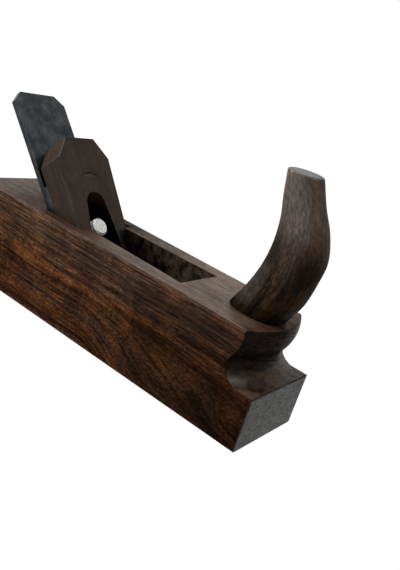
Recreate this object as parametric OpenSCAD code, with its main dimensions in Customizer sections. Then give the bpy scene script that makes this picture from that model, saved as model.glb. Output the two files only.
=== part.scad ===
// Horned smoothing plane: a solid dark hardwood stock with a turned-looking
// toe moulding, a carved horn at the toe, and a double iron held by a
// two-legged wooden wedge.
// The sole lies on z = 0, +X points to the toe, and the origin is the middle
// of the sole.

/* [Stock] */
// Length from heel to toe
stock_l = 250; // [235:1:265]
// Width across the sole
stock_w = 63; // [61:0.5:70]
// Height from sole to top face
stock_h = 66; // [62:0.5:70]
// Chamfer along the two long top edges
top_chamfer = 1.4; // [0.6:0.2:3]
// Easing along the two long sole edges
sole_ease = 0.6; // [0.4:0.2:1.2]
// Radius of the two upright heel corners
heel_r = 8; // [3:1:14]
// Radius of the heel's top edge
heel_top_r = 7; // [3:1:12]

/* [Toe moulding] */
// Height of the square foot under the moulding
foot_h = 33.5; // [30:0.5:36]
// Distance from the toe face back to the centre of the moulding's curve
moulding_back = 62.7; // [60:0.1:66]
// Radius of the bead at its fullest line, seen from above
bead_reach = 55.8; // [53:0.2:57]
// Depth of the bead's fullest line under the top face
bead_drop = 6; // [4:0.5:9]
// Radius at the narrowest line of the cove, seen from above
cove_reach = 51.5; // [49:0.2:53]
// Radius of the cove's hollow
cove_r = 11; // [10:0.2:12.5]
// Depth that the cove's hollow would dip under the foot's top
cove_dip = 0.3; // [0.2:0.1:1]

/* [Escapement] */
// Angle of the bed to the sole
bed_angle = 45; // [43:0.5:48]
// Distance from the toe face to the cutting edge
edge_from_toe = 114.6; // [108:0.5:120]
// Gap between the cutting edge and the front of the mouth
mouth_gap = 1.6; // [1:0.1:3]
// Height of the steep wear above the mouth
wear_h = 12; // [8:1:18]
// Forward lean of the wear over its height
wear_lean = 2.5; // [1:0.5:5]
// Distance from the toe face to the throat's front edge on the top face
throat_from_toe = 72.4; // [68:0.2:78]
// Width of the throat at its front edge on the top face
throat_w = 37; // [34:0.5:40]
// Width between the two abutments on the top face
abutment_gap = 31; // [28:0.5:34]
// Outward lean of the throat's side walls, going down
wall_lean = 15.5; // [12:0.5:18]
// Length of the upright relief behind each abutment's top corner
abutment_relief = 5; // [3:0.5:6]
// Clearance between the wedge and the pocket on each side
pocket_clear = 0.3; // [0.2:0.1:0.6]
// Gap between the bed and the back of the plane iron
bed_clear = 0.02; // [0.01:0.01:0.05]
// Width of the groove in the bed that houses the nut
groove_w = 16.4; // [16:0.2:20]
// Depth of that groove under the bed
groove_d = 9; // [8:0.5:12]
// Distance up the bed from the cutting edge to the groove's foot
groove_foot = 58; // [45:1:64]

/* [Plane iron] */
// Width of the plane iron
iron_w = 44; // [40:0.5:44.6]
// Thickness of the plane iron
iron_t = 3.5; // [3:0.1:4.5]
// Length of the plane iron
iron_length = 180; // [165:1:190]
// Grinding angle of the cutting edge
grind_angle = 30; // [25:1:35]
// Width of the plane iron's slot
iron_slot_w = 10.4; // [9:0.2:12]
// Distance from the cutting edge to the slot's lower end
iron_slot_foot = 62; // [55:1:68]
// Length of the slot
iron_slot_l = 62; // [40:1:80]
// Corner cut off at the iron's top
iron_clip = 7; // [3:0.5:12]

/* [Cap iron] */
// Thickness of the cap iron
cap_t = 3; // [2.4:0.1:3.6]
// Length of the cap iron
cap_l = 112; // [100:1:125]
// Distance that the cap iron's edge sits behind the cutting edge
cap_setback = 1; // [0.6:0.1:2]
// Height of the cap iron's curved nose over its flat
nose_rise = 1.6; // [1:0.1:2]
// Radius of that nose
nose_r = 7; // [6:0.5:8]
// Depth of the hollow under the cap iron behind its edge
cap_hollow = 0.5; // [0.3:0.1:0.8]
// Length of that hollow
cap_hollow_l = 22; // [16:1:28]

/* [Cap screw and nut] */
// Distance up the iron from the cutting edge to the screw's axis
screw_up = 76; // [73:1:82]
// Diameter of the screw's shank
screw_d = 8; // [6:0.5:8.6]
// Diameter of the screw's head
head_d = 11.8; // [10.8:0.2:13]
// Height of the screw's head above the cap iron
head_h = 13; // [10:0.5:14]
// Chamfer round the head's face
head_chamfer = 0.9; // [0.4:0.1:1.4]
// Side of the square nut
nut_w = 15; // [13.5:0.5:15.4]
// Thickness of the nut
nut_t = 5; // [4:0.5:6]
// Length of shank showing past the nut
screw_tail = 1.5; // [0.5:0.5:2]
// Clearance round the shank in the cap iron's hole
screw_clear = 0.2; // [0.15:0.05:0.4]
// Clearance round the shank in the nut
thread_clear = 0.05; // [0.03:0.01:0.08]

/* [Wedge] */
// Width of the wedge
wedge_w = 45; // [43:0.2:45.4]
// Thickness of the wedge where it leaves the stock
wedge_t = 14.5; // [13.5:0.1:16]
// Taper angle of the wedge
wedge_angle = 5.7; // [5:0.1:7]
// Length of the wedge's front face above the stock
wedge_rise = 60; // [50:1:70]
// Distance up the iron from the cutting edge to the leg tips
tip_up = 28; // [27:1:34]
// Thickness of the bevelled leg tips
tip_t = 3.5; // [2.5:0.5:5]
// Length of the bevel on the leg tips
tip_bevel = 14; // [8:1:18]
// Width of the top corners cut off the wedge
corner_w = 10; // [6:0.5:13]
// Height of the top corners cut off the wedge
corner_h = 13.5; // [9:0.5:18]
// Radius of the round end of the wedge's slot
slot_r = 8.3; // [7.5:0.1:9]
// Height of the slot's round end above the stock, along the front face
slot_rise = 22.7; // [21:0.1:26]
// Spread of the slot's sides towards the leg tips
slot_flare = 10; // [7:0.5:10.5]
// Radius of the thumbnail cut above the slot
nail_r = 13; // [9:0.5:15]
// Height of the thumbnail cut above the stock, along the front face
nail_rise = 36; // [33:0.5:42]
// Depth of the thumbnail cut
nail_d = 0.5; // [0.3:0.1:1]
// Length over which the thumbnail cut runs out
nail_run = 2.9; // [2:0.1:4]

/* [Horn] */
// Height of the horn above the top face
horn_h = 82; // [74:1:90]
// Length of the horn's foot, heel to toe
horn_l = 33.8; // [31:0.2:36]
// Width of the horn's foot
horn_w = 28; // [25:0.5:32]
// Distance from the toe face to the middle of the horn's foot
horn_from_toe = 29.9; // [28:0.1:33]
// Forward sweep of the horn's belly
horn_sweep = 12.2; // [9:0.2:14]
// Squareness of the horn's section, where 2 is an ellipse
horn_square = 2.3; // [2:0.1:3]
// Diameter of the horn's dowel
dowel_d = 12; // [9:0.5:13]
// Depth of the dowel in the horn
dowel_in_horn = 18; // [12:1:20]
// Depth of the dowel in the stock
dowel_in_stock = 30; // [20:1:32]
// Diameter of the horn's locating pin
pin_d = 4; // [3:0.5:5]
// Distance from the dowel's axis forward to the locating pin
pin_ahead = 11.5; // [10.5:0.1:12]
// Depth of the locating pin in the horn
pin_in_horn = 7; // [5:1:9]
// Depth of the locating pin in the stock
pin_in_stock = 8; // [5:1:10]
// Glue clearance round the dowel and the pin
glue_clear = 0.05; // [0.03:0.01:0.08]
// Gap past the ends of the dowel and the pin
end_gap = 0.5; // [0.3:0.1:1]

/* [Hidden] */
$fn = 64;
cut = 1;
reach = 300;

// Rows of the horn from foot to top: share of its height, share of its
// forward sweep, share of its foot's length, share of its foot's width
horn_rows = [
    [0.00, 0.00, 1.00, 1.00],
    [0.17, 0.56, 1.00, 0.99],
    [0.34, 0.87, 0.95, 0.97],
    [0.51, 1.00, 0.93, 0.93],
    [0.68, 0.78, 0.82, 0.87],
    [0.83, 0.36, 0.69, 0.81],
    [1.00, -0.03, 0.57, 0.74]
];
horn_steps = 5;
horn_sides = 40;

toe_x = stock_l / 2;
edge_x = toe_x - edge_from_toe;
mouth_x = edge_x + mouth_gap;
throat_x = toe_x - throat_from_toe;
moulding_x = toe_x - moulding_back;
horn_x = toe_x - horn_from_toe;
pocket_w = wedge_w + 2 * pocket_clear;

// Height up the iron at which the wedge's front face crosses the top face,
// with the plane iron's front face as the zero of thickness
wedge_front = cap_t + wedge_t;
exit_up = (stock_h - wedge_front * cos(bed_angle)) / sin(bed_angle);
wedge_top = exit_up + wedge_rise * cos(wedge_angle);
function front_at(up) = wedge_front + (up - exit_up) * tan(wedge_angle);

// Where the plane a distance out from the iron's front face lies at height z
function bed_x(out, z) = edge_x + out / sin(bed_angle) - z / tan(bed_angle);
exit_x = bed_x(wedge_front, stock_h);
abutment_x = exit_x + abutment_relief;
face_angle = bed_angle + wedge_angle;

// The bead's radius follows from its curve running smoothly into the cove's
bead_z = stock_h - bead_drop;
cove_z = foot_h + cove_r - cove_dip;
cove_centre = cove_reach + cove_r;
reach_gap = cove_centre - bead_reach;
rise_gap = bead_z - cove_z;
bead_r = (reach_gap * reach_gap + rise_gap * rise_gap - cove_r * cove_r)
    / (2 * (cove_r - reach_gap));
bead_centre = bead_reach - bead_r;
join_share = bead_r / (bead_r + cove_r);
join_z = bead_z - join_share * rise_gap;

// A side outline, drawn as x and z, made solid across the given width
module across(width) {
    rotate([90, 0, 0]) linear_extrude(width, center = true) children();
}

// A front outline, drawn as y and z, made solid along x from zero
module along(length) {
    rotate([90, 0, 90]) linear_extrude(length) children();
}

// The iron's own frame: z runs up the iron from the cutting edge, x stands
// out of its front face towards the throat
module on_iron() {
    translate([edge_x, 0, 0]) rotate([0, bed_angle - 90, 0]) children();
}

// The frame of the wedge's front face: z runs up the face from the top of
// the stock, x stands out of it
module on_wedge_face() {
    on_iron() translate([wedge_front, 0, exit_up]) rotate([0, wedge_angle, 0]) children();
}

// A round bar lying along x from one distance to another
module bar(diameter, from, to) {
    translate([from, 0, 0]) rotate([0, 90, 0]) cylinder(d = diameter, h = to - from);
}

module stock_blank() {
    half = stock_w / 2;
    rounding = max(heel_r, heel_top_r);
    intersection() {
        translate([-stock_l / 2, 0, 0]) along(stock_l) polygon([
            [-half + sole_ease, 0], [half - sole_ease, 0], [half, sole_ease],
            [half, stock_h - top_chamfer], [half - top_chamfer, stock_h],
            [-half + top_chamfer, stock_h], [-half, stock_h - top_chamfer], [-half, sole_ease]
        ]);
        union() {
            translate([-stock_l / 2 + rounding, -stock_w, -cut])
                cube([stock_l, 2 * stock_w, stock_h + 2 * cut]);
            intersection() {
                heel_plan();
                heel_side();
            }
        }
    }
}

// Plan of the heel with its two rounded corners
module heel_plan() {
    straight = stock_w - 2 * heel_r;
    translate([-stock_l / 2, 0, -cut]) linear_extrude(stock_h + 2 * cut) {
        translate([0, -straight / 2]) square([stock_w, straight]);
        translate([heel_r, -stock_w / 2]) square([stock_w, stock_w]);
        for (side = [-1, 1]) translate([heel_r, side * straight / 2]) circle(heel_r);
    }
}

// Side view of the heel with its rounded top edge
module heel_side() {
    low = stock_h - heel_top_r;
    translate([-stock_l / 2, 0, 0]) across(2 * stock_w) {
        translate([0, -cut]) square([stock_w, low + cut]);
        translate([heel_top_r, 0]) square([stock_w, stock_h]);
        translate([heel_top_r, low]) circle(heel_top_r);
    }
}

// What is carved away round the bead and the cove above the square foot
module toe_waste() {
    start = moulding_back / 2;
    difference() {
        translate([moulding_x + start, -stock_w, foot_h])
            cube([moulding_back, 2 * stock_w, stock_h]);
        translate([moulding_x, 0, 0]) rotate_extrude($fn = 128) moulding_outline();
    }
}

// Outline of the moulding from its centre line: the bead over the cove
module moulding_outline() {
    top = stock_h + cut;
    intersection() {
        translate([bead_centre, bead_z]) circle(bead_r);
        translate([cove_reach / 2, join_z]) square([moulding_back, top - join_z]);
    }
    translate([0, join_z]) square([cove_reach - cove_r / 2, top - join_z]);
    difference() {
        translate([0, foot_h - cut]) square([cove_centre, join_z - foot_h + cut]);
        translate([cove_centre, cove_z]) circle(cove_r);
    }
}

// The throat, the pocket behind the abutments and the mouth, cut in one
module escapement() {
    sole = -cut;
    top = stock_h + cut;
    bed_out = -iron_t - bed_clear;
    intersection() {
        across(pocket_w) polygon([
            [bed_x(bed_out, sole), sole], [mouth_x, sole], [mouth_x, 0],
            [mouth_x + wear_lean, wear_h], [throat_x, stock_h], [throat_x, top],
            [bed_x(bed_out, top), top]
        ]);
        union() {
            on_wedge_face() translate([-reach, -pocket_w, -reach])
                cube([reach, 2 * pocket_w, 2 * reach]);
            across(pocket_w) polygon([
                [exit_x - cut, top], [abutment_x, top],
                [abutment_x, stock_h - abutment_relief * tan(face_angle)]
            ]);
            chip_space();
        }
    }
}

// The throat between its two leaning side walls
module chip_space() {
    splay = atan((throat_w - abutment_gap) / 2 / (throat_x - abutment_x));
    intersection_for (side = [0, 1]) mirror([0, side, 0])
        translate([abutment_x, abutment_gap / 2, stock_h]) rotate([0, 0, splay])
            rotate([wall_lean, 0, 0]) translate([-reach / 2, -reach, -reach / 2])
                cube([reach, reach, reach]);
}

module stock() {
    color("#3d2a1f") difference() {
        stock_blank();
        toe_waste();
        escapement();
        on_iron() translate([-iron_t - groove_d, -groove_w / 2, groove_foot])
            cube([groove_d + cut, groove_w, reach]);
        translate([horn_x, 0, stock_h - dowel_in_stock - end_gap])
            cylinder(d = dowel_d + 2 * glue_clear, h = dowel_in_stock + end_gap + cut);
        translate([horn_x + pin_ahead, 0, stock_h - pin_in_stock - end_gap])
            cylinder(d = pin_d + 2 * glue_clear, h = pin_in_stock + end_gap + cut);
    }
}

// One value of the horn's rows between two rows, as a smooth curve through
// the four rows around it
function smooth(a, b, c, d, t) =
    b + t / 2 * (c - a + t * (2 * a - 5 * b + 4 * c - d + t * (3 * (b - c) + d - a)));
function row_at(i, t) =
    let (last = len(horn_rows) - 1,
         a = i > 0 ? horn_rows[i - 1] : 2 * horn_rows[0] - horn_rows[1],
         d = i + 2 > last ? 2 * horn_rows[last] - horn_rows[last - 1] : horn_rows[i + 2])
    [for (k = [0:3]) smooth(a[k], horn_rows[i][k], horn_rows[i + 1][k], d[k], t)];
function bend(v) = sign(v) * pow(abs(v), 2 / horn_square);
function horn_ring(row) = [
    for (k = [0:horn_sides - 1]) let (angle = 360 * k / horn_sides) [
        horn_x + horn_sweep * row[1] + horn_l / 2 * row[2] * bend(cos(angle)),
        horn_w / 2 * row[3] * bend(sin(angle)),
        stock_h + horn_h * row[0]
    ]
];

module horn_body() {
    spans = len(horn_rows) - 1;
    rings = [
        for (i = [0:spans - 1], j = [0:horn_steps - 1]) horn_ring(row_at(i, j / horn_steps)),
        horn_ring(horn_rows[spans])
    ];
    count = len(rings);
    sides = [
        for (r = [0:count - 2], k = [0:horn_sides - 1]) let (n = (k + 1) % horn_sides)
            each [
                [r * horn_sides + k, (r + 1) * horn_sides + k, (r + 1) * horn_sides + n],
                [r * horn_sides + k, (r + 1) * horn_sides + n, r * horn_sides + n]
            ]
    ];
    foot = [for (k = [0:horn_sides - 1]) k];
    top = [for (k = [horn_sides - 1:-1:0]) (count - 1) * horn_sides + k];
    polyhedron(points = [for (ring = rings) each ring], faces = concat(sides, [foot, top]));
}

module horn() {
    color("#46301f") difference() {
        horn_body();
        translate([horn_x, 0, stock_h - cut])
            cylinder(d = dowel_d + 2 * glue_clear, h = dowel_in_horn + end_gap + cut);
        translate([horn_x + pin_ahead, 0, stock_h - cut])
            cylinder(d = pin_d + 2 * glue_clear, h = pin_in_horn + end_gap + cut);
    }
}

module horn_dowel() {
    color("#b98d5a") translate([horn_x, 0, stock_h - dowel_in_stock])
        cylinder(d = dowel_d, h = dowel_in_stock + dowel_in_horn);
}

module horn_locating_pin() {
    color("#b98d5a") translate([horn_x + pin_ahead, 0, stock_h - pin_in_stock])
        cylinder(d = pin_d, h = pin_in_stock + pin_in_horn);
}

module wedge() {
    bevel_top = tip_up + tip_bevel;
    color("#33261f") difference() {
        on_iron() intersection() {
            across(wedge_w) polygon([
                [cap_t, tip_up], [cap_t + tip_t, tip_up], [front_at(bevel_top), bevel_top],
                [front_at(wedge_top), wedge_top], [cap_t, wedge_top]
            ]);
            along(reach) wedge_outline();
        }
        on_iron() along(reach) wedge_slot();
        thumbnail();
    }
}

// Front view of the wedge with its two top corners cut off
module wedge_outline() {
    half = wedge_w / 2;
    polygon([
        [-half, 0], [half, 0], [half, wedge_top - corner_h], [half - corner_w, wedge_top],
        [-half + corner_w, wedge_top], [-half, wedge_top - corner_h]
    ]);
}

// Front view of the slot between the wedge's legs
module wedge_slot() {
    centre = exit_up + slot_rise - slot_r;
    foot = tip_up - cut;
    spread = slot_r + (centre - foot) * tan(slot_flare);
    translate([0, centre]) circle(slot_r);
    polygon([[-slot_r, centre], [slot_r, centre], [spread, foot], [-spread, foot]]);
}

// Shallow crescent in the wedge's face, from one cut of a wide gouge
module thumbnail() {
    tilt = atan(nail_d / nail_run);
    on_wedge_face() translate([0, 0, nail_rise - nail_run]) rotate([0, -tilt, 0])
        translate([0, 0, nail_run - nail_r]) bar(2 * nail_r, 0, nail_r);
}

module plane_iron() {
    half = iron_w / 2;
    grind = iron_t / tan(grind_angle);
    color("#4b5156") on_iron() difference() {
        intersection() {
            across(iron_w) polygon([[0, 0], [0, iron_length], [-iron_t, iron_length], [-iron_t, grind]]);
            translate([-iron_t, 0, 0]) along(iron_t) polygon([
                [-half, 0], [half, 0], [half, iron_length - iron_clip], [half - iron_clip, iron_length],
                [-half + iron_clip, iron_length], [-half, iron_length - iron_clip]
            ]);
        }
        translate([-iron_t - cut, 0, 0]) along(iron_t + 2 * cut) iron_slot();
    }
}

// Front view of the plane iron's slot with its two round ends
module iron_slot() {
    round = iron_slot_w / 2;
    low = iron_slot_foot + round;
    high = iron_slot_foot + iron_slot_l - round;
    translate([0, low]) circle(round);
    translate([0, high]) circle(round);
    translate([-round, low]) square([iron_slot_w, high - low]);
}

module cap_iron() {
    top = cap_setback + cap_l;
    clip = iron_clip / 2;
    half = iron_w / 2;
    color("#5d6468") on_iron() difference() {
        intersection() {
            across(iron_w) cap_side();
            along(cap_t + nose_rise + cut) polygon([
                [-half, 0], [half, 0], [half, top - clip], [half - clip, top],
                [-half + clip, top], [-half, top - clip]
            ]);
        }
        translate([0, 0, screw_up]) bar(screw_d + 2 * screw_clear, -cut, cap_t + cut);
    }
}

// Side view of the cap iron: the flat, the curved nose and the hollow
module cap_side() {
    nose_x = cap_t + nose_rise - nose_r;
    nose_up = cap_setback + sqrt(nose_r * nose_r - nose_x * nose_x);
    hollow_r = (cap_hollow_l * cap_hollow_l / 4 + cap_hollow * cap_hollow) / (2 * cap_hollow);
    land = cap_setback * 2;
    difference() {
        union() {
            intersection() {
                translate([nose_x, nose_up]) circle(nose_r, $fn = 96);
                translate([0, cap_setback]) square([nose_r, 2 * nose_r]);
            }
            translate([0, nose_up]) square([cap_t, cap_setback + cap_l - nose_up]);
        }
        translate([cap_hollow - hollow_r, land + cap_hollow_l / 2]) circle(hollow_r, $fn = 256);
    }
}

module cap_screw() {
    tail = -iron_t - nut_t - screw_tail;
    rim = head_d / 2 - head_chamfer;
    face = cap_t + head_h;
    color("#d9dcdc") on_iron() translate([0, 0, screw_up]) rotate([0, 90, 0])
        rotate_extrude() polygon([
            [0, tail], [screw_d / 2, tail], [screw_d / 2, cap_t], [head_d / 2, cap_t],
            [head_d / 2, face - head_chamfer], [rim, face], [0, face]
        ]);
}

module cap_nut() {
    color("#8b9092") on_iron() translate([0, 0, screw_up]) difference() {
        translate([-iron_t - nut_t, -nut_w / 2, -nut_w / 2]) cube([nut_t, nut_w, nut_w]);
        bar(screw_d + 2 * thread_clear, -iron_t - nut_t - cut, -iron_t + cut);
    }
}

stock();
horn();
horn_dowel();
horn_locating_pin();
wedge();
plane_iron();
cap_iron();
cap_screw();
cap_nut();
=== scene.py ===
import math
from types import SimpleNamespace

import bmesh
import bpy
from mathutils import Matrix, Vector


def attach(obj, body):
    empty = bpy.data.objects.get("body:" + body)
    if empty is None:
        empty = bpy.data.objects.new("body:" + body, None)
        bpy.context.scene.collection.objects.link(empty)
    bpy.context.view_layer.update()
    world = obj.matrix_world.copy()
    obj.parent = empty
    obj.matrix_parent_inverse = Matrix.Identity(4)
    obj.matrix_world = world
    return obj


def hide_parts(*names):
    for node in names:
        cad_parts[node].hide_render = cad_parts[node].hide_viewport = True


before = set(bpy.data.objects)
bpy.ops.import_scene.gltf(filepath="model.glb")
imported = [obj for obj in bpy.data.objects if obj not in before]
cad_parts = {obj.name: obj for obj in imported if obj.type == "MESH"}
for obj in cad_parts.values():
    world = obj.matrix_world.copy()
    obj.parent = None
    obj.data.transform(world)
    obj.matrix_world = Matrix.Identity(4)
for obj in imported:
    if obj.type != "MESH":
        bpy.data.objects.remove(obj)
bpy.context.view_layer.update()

# Camera: it stands low in front of the toe, to the plane's near side, and is
# tilted on its own axis as a camera held in the hand is, so that the toe hangs low.
AZIMUTH, ELEVATION, ROLL = math.radians(31.197), math.radians(19.276), math.radians(17.968)
EYE = Vector((0.25343, -0.32950, 0.19765))
LENS_MM, SENSOR_MM, NEAREST_SEEN = 43.42, 36.0, 0.01

back = Vector((math.sin(AZIMUTH) * math.cos(ELEVATION),
               -math.cos(AZIMUTH) * math.cos(ELEVATION), math.sin(ELEVATION)))
level_right = Vector((math.cos(AZIMUTH), math.sin(AZIMUTH), 0.0))
level_up = back.cross(level_right)
right = level_right * math.cos(ROLL) + level_up * math.sin(ROLL)
up = back.cross(right)
eye_frame = Matrix((right, up, back)).transposed().to_4x4()
eye_frame.translation = EYE

camera_data = bpy.data.cameras.new("camera")
camera_data.lens = LENS_MM
camera_data.sensor_width = SENSOR_MM
camera_data.clip_start = NEAREST_SEEN
camera = bpy.data.objects.new("camera", camera_data)
camera.matrix_world = eye_frame
bpy.context.scene.collection.objects.link(camera)
bpy.context.scene.camera = camera


# Stock: a quartersawn block of dark rosewood, oiled and rubbed. Its toe is turned
# to a bead over a hollow, and its throat is chopped and pared by hand.
# The escapement keeps the chisel's rough walls, and the outside is handled smooth.
STOCK_HEIGHT, EASED_EDGE = 0.066, 0.00035
STOCK_DARK = (0.0165, 0.0062, 0.0022, 1)
STOCK_BROWN = (0.056, 0.028, 0.0165, 1)
STOCK_RUST = (0.080, 0.0295, 0.0120, 1)
STOCK_WORN_AND_SHEEN = (0.095, 0.064, 0.043, 1)
STOCK_HAZE_AND_SHEEN = (0.084, 0.056, 0.041, 1)
STOCK_EDGE_WEAR_AND_GLINT = (0.16, 0.10, 0.065, 1)
LOWER_TOE_TINT = (1.05, 0.98, 0.82, 1)
THROAT_DARK, THROAT_PALE = (0.017, 0.0110, 0.0085, 1), (0.155, 0.108, 0.080, 1)
END_GRAIN_DARK, END_GRAIN_RED = (0.0095, 0.0074, 0.0062, 1), (0.031, 0.0205, 0.0160, 1)
FOOT_GREY, FOOT_WARM = (0.053, 0.044, 0.036, 1), (0.070, 0.043, 0.028, 1)
FOOT_BROWN = (0.032, 0.018, 0.0100, 1)
TOE_GREY, TOP_REFLECTION_DARK = (0.0165, 0.0150, 0.0120, 1), (0.036, 0.0165, 0.0100, 1)
# Where these finishes lie along the plane, across it and up: from and to, with a third
# number for how soft both ends are
THROAT_ALONG, THROAT_ACROSS = (-0.075, 0.0532, 0.0005), (-0.024, 0.024, 0.0005)
THROAT_UP, MOULDING_UP = (0.0005, 0.0655, 0.0003), (0.0214, 0.0655, 0.0003)
MOULDING_ALONG, MOULDING_ACROSS = (0.0900, 0.0906), (-0.0310, 0.0310, 0.0003)
TOP_FACE_UP, TOE_FACE_ALONG, TOE_RIM_UP = (0.0640, 0.0655), (0.1240, 0.1248), (0.0322, 0.0328)
BEAD_LINE_UP, BEAD_LINE_ACROSS = (0.0558, 0.0559, 0.0003), (-0.004, -0.012)
CREASE_UP, CREASE_FALL, CREASE_LOWEST, CREASE_WIDTH = 0.0440, 0.19, 0.0420, (-0.0001, 0.0001, 0.0005)
KNOT, KNOT_LENGTH, KNOT_WIDTH, KNOT_RING = (0.1180, -0.0165, 0.0335), 0.0042, 0.0085, (0.60, 0.80, 0.5)
FOOT_ACROSS, SOLE_RUB_UP, LOWER_TOE_ALONG = (-0.004, 0.014), (0.013, 0.005), (0.090, 0.055)
RIPPLES_ALONG, RIPPLES_UP, DASHES_UP = (0.085, 0.030), (0.004, 0.030), (0.026, 0.044)
WORN_ALONG, HORN_REFLECTION_ALONG = (0.010, 0.050), (0.1000, 0.1100)
WEDGE_REFLECTION_START, WEDGE_REFLECTION_END = (-0.002, -0.030), (-0.105, -0.065)
# How far the sides are darkened, the first three as painted shade: low on the toe, towards the sole,
# towards the toe, in the growth layers, and everywhere
SHADE_LOW_TOE, SHADE_LOW, SHADE_TOE, GROWTH_LAYER_DEPTH, SIDES_LEVEL = -0.58, -0.55, -0.75, 0.15, 0.54
TOE_RAMP_REACH, TOE_RAMP_START, GROWTH_MIDDLE, GROWTH_WIDTH = 0.130, 0.15, 0.0385, 0.022
# The grain's swirl round an old branch, in millimetres: how high it reaches, where it lies
# along the plane, how far it lifts the growth layers, and how they go on rising past it
SWIRL_HEIGHT, SWIRL_ALONG, SWIRL_LIFT, PAST_SWIRL, PAST_RISE = 27.0, (-5.0, 62.0), 24.0, 60.0, 0.14
LAYER_LEAN, BAND_ALONG, BAND_ASIDE, DRIFT_REACH = 0.24, 0.011, 0.03, 5.5
YELLOW_TINT, VIOLET_TINT = (1.03, 1.06, 0.80, 1), (0.78, 0.77, 0.98, 1)
# Rosewood's own marks: how many to a millimetre along the grain and across it both ways,
# how many finer layers they have, and how ragged they are
GRAIN_MARKS = {"drift": ((0.009, 0.028, 0.028), 2), "patches": ((0.045, 0.14, 0.06), 4, 0.62),
               "stripes": ((0.008, 0.30, 0.12), 2), "lines": ((0.024, 1.05, 0.8), 3, 0.68),
               "strands": ((0.14, 1.15, 1.15), 3, 0.75), "hairlines": ((0.007, 0.42, 0.33), 2, 0.55),
               "pores": ((0.20, 2.0, 2.0), 2, 0.6), "grit": ((0.42, 0.95, 0.95), 2, 0.7)}
# Marks that work and use have left on the stock, in the same way, but to a metre
STOCK_MARKS = {"mottle": ((165, 165, 110), 4, 0.72), "blotches": ((240, 190, 240), 4, 0.65),
               "ripples": ((105, 16, 14), 2, 0.55), "dashes": ((75, 820, 820), 2, 0.6),
               "specks": ((180, 560, 560), 3, 0.75), "scratches": ((300, 480, 720), 2, 0.7),
               "tool marks": ((500, 60, 1100), 4, 0.7, 0.4)}
TOOL_SLANT = (math.radians(7), math.radians(31), 0)


def put(tree, kind, sockets=None, **settings):
    """Adds a node, sets it, and links or fills its sockets."""
    made = tree.nodes.new("ShaderNode" + kind)
    for name, value in settings.items():
        setattr(made, name, value)
    for name, value in (sockets or {}).items():
        if isinstance(value, bpy.types.NodeSocket):
            tree.links.new(value, made.inputs[name])
        else:
            made.inputs[name].default_value = value
    return made


def maths(tree, operation, *values, clamp=False):
    return put(tree, "Math", dict(enumerate(values)), operation=operation, use_clamp=clamp).outputs[0]


def times(tree, first, *others):
    """The product, which for masks is where every one of them holds."""
    for other in others:
        first = maths(tree, "MULTIPLY", first, other)
    return first


def plus(tree, first, *others):
    for other in others:
        first = maths(tree, "ADD", first, other)
    return first


def minus(tree, first, second):
    return maths(tree, "SUBTRACT", first, second)


def larger(tree, first, second):
    return maths(tree, "MAXIMUM", first, second)


def vector_maths(tree, operation, *values):
    made = put(tree, "VectorMath", dict(enumerate(values)), operation=operation)
    return made.outputs["Value" if operation in ("LENGTH", "DOT_PRODUCT") else "Vector"]


def stretched(tree, place, x, y, z):
    """The place with each of its three directions scaled."""
    return vector_maths(tree, "MULTIPLY", place, (x, y, z))


def parts(tree, vector):
    """The three numbers of a place, a direction or a colour."""
    return tuple(put(tree, "SeparateXYZ", {0: vector}).outputs)


def joined(tree, x, y, z):
    return put(tree, "CombineXYZ", {"X": x, "Y": y, "Z": z}).outputs[0]


def noise(tree, place, scale=1.0, detail=2.0, roughness=0.5, distortion=0.0, out="Fac"):
    return put(tree, "TexNoise", {"Vector": place, "Scale": scale, "Detail": detail,
                                  "Roughness": roughness, "Distortion": distortion}).outputs[out]


def marks(tree, place, fineness, layers=2, ragged=0.5, waver=0.0, out="Fac"):
    """Noise with its own fineness in each of three directions."""
    return noise(tree, stretched(tree, place, *fineness), 1.0, layers, ragged, waver, out)


def between(tree, value, low, high, out_low=0.0, out_high=1.0):
    """The value's share of the way from low to high, with soft ends."""
    return put(tree, "MapRange", {"Value": value, "From Min": low, "From Max": high,
                                  "To Min": out_low, "To Max": out_high},
               interpolation_type="SMOOTHSTEP").outputs[0]


def where(tree, mask, outside, inside):
    """One strength outside the mask, turning softly to another inside it."""
    return between(tree, mask, 0.0, 1.0, outside, inside)


def within(tree, value, low, high, soft):
    inside = between(tree, value, low - soft, low)
    return times(tree, inside, between(tree, value, high + soft, high))


def blend_colour(tree, share, first, second, how="MIX"):
    made = tree.nodes.new("ShaderNodeMix")
    made.data_type, made.blend_type, made.clamp_factor = "RGBA", how, True
    colours = [socket for socket in made.inputs if socket.type == "RGBA"]
    for socket, value in ((made.inputs["Factor"], share), (colours[0], first), (colours[1], second)):
        if isinstance(value, bpy.types.NodeSocket):
            tree.links.new(value, socket)
        else:
            socket.default_value = value
    return next(socket for socket in made.outputs if socket.type == "RGBA")


def tinted(tree, share, colour, tint):
    """The colour with a share of it multiplied by a tint."""
    return blend_colour(tree, share, colour, blend_colour(tree, 1.0, colour, tint, "MULTIPLY"))


def lit(tree, colour, strength):
    """The colour made darker or paler by a strength, where 1 leaves it alone."""
    return blend_colour(tree, 1.0, colour, joined(tree, strength, strength, strength), "MULTIPLY")


def new_group(name, inputs, outputs):
    """A shader node group, its tree, its inputs and the node for its outputs."""
    tree = bpy.data.node_groups.new(name, "ShaderNodeTree")
    for title, (kind, start) in inputs.items():
        socket = tree.interface.new_socket(title, in_out="INPUT", socket_type="NodeSocket" + kind)
        if start is not None:
            socket.default_value = start
    for title, kind in outputs.items():
        tree.interface.new_socket(title, in_out="OUTPUT", socket_type="NodeSocket" + kind)
    return tree, tree.nodes.new("NodeGroupInput").outputs, tree.nodes.new("NodeGroupOutput").inputs


def place_group(tree, group, **sockets):
    made = tree.nodes.new("ShaderNodeGroup")
    made.node_tree = group
    for title, value in sockets.items():
        socket = made.inputs[title.replace("_", " ")]
        if isinstance(value, bpy.types.NodeSocket):
            tree.links.new(value, socket)
        else:
            socket.default_value = value
    return made.outputs


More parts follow.
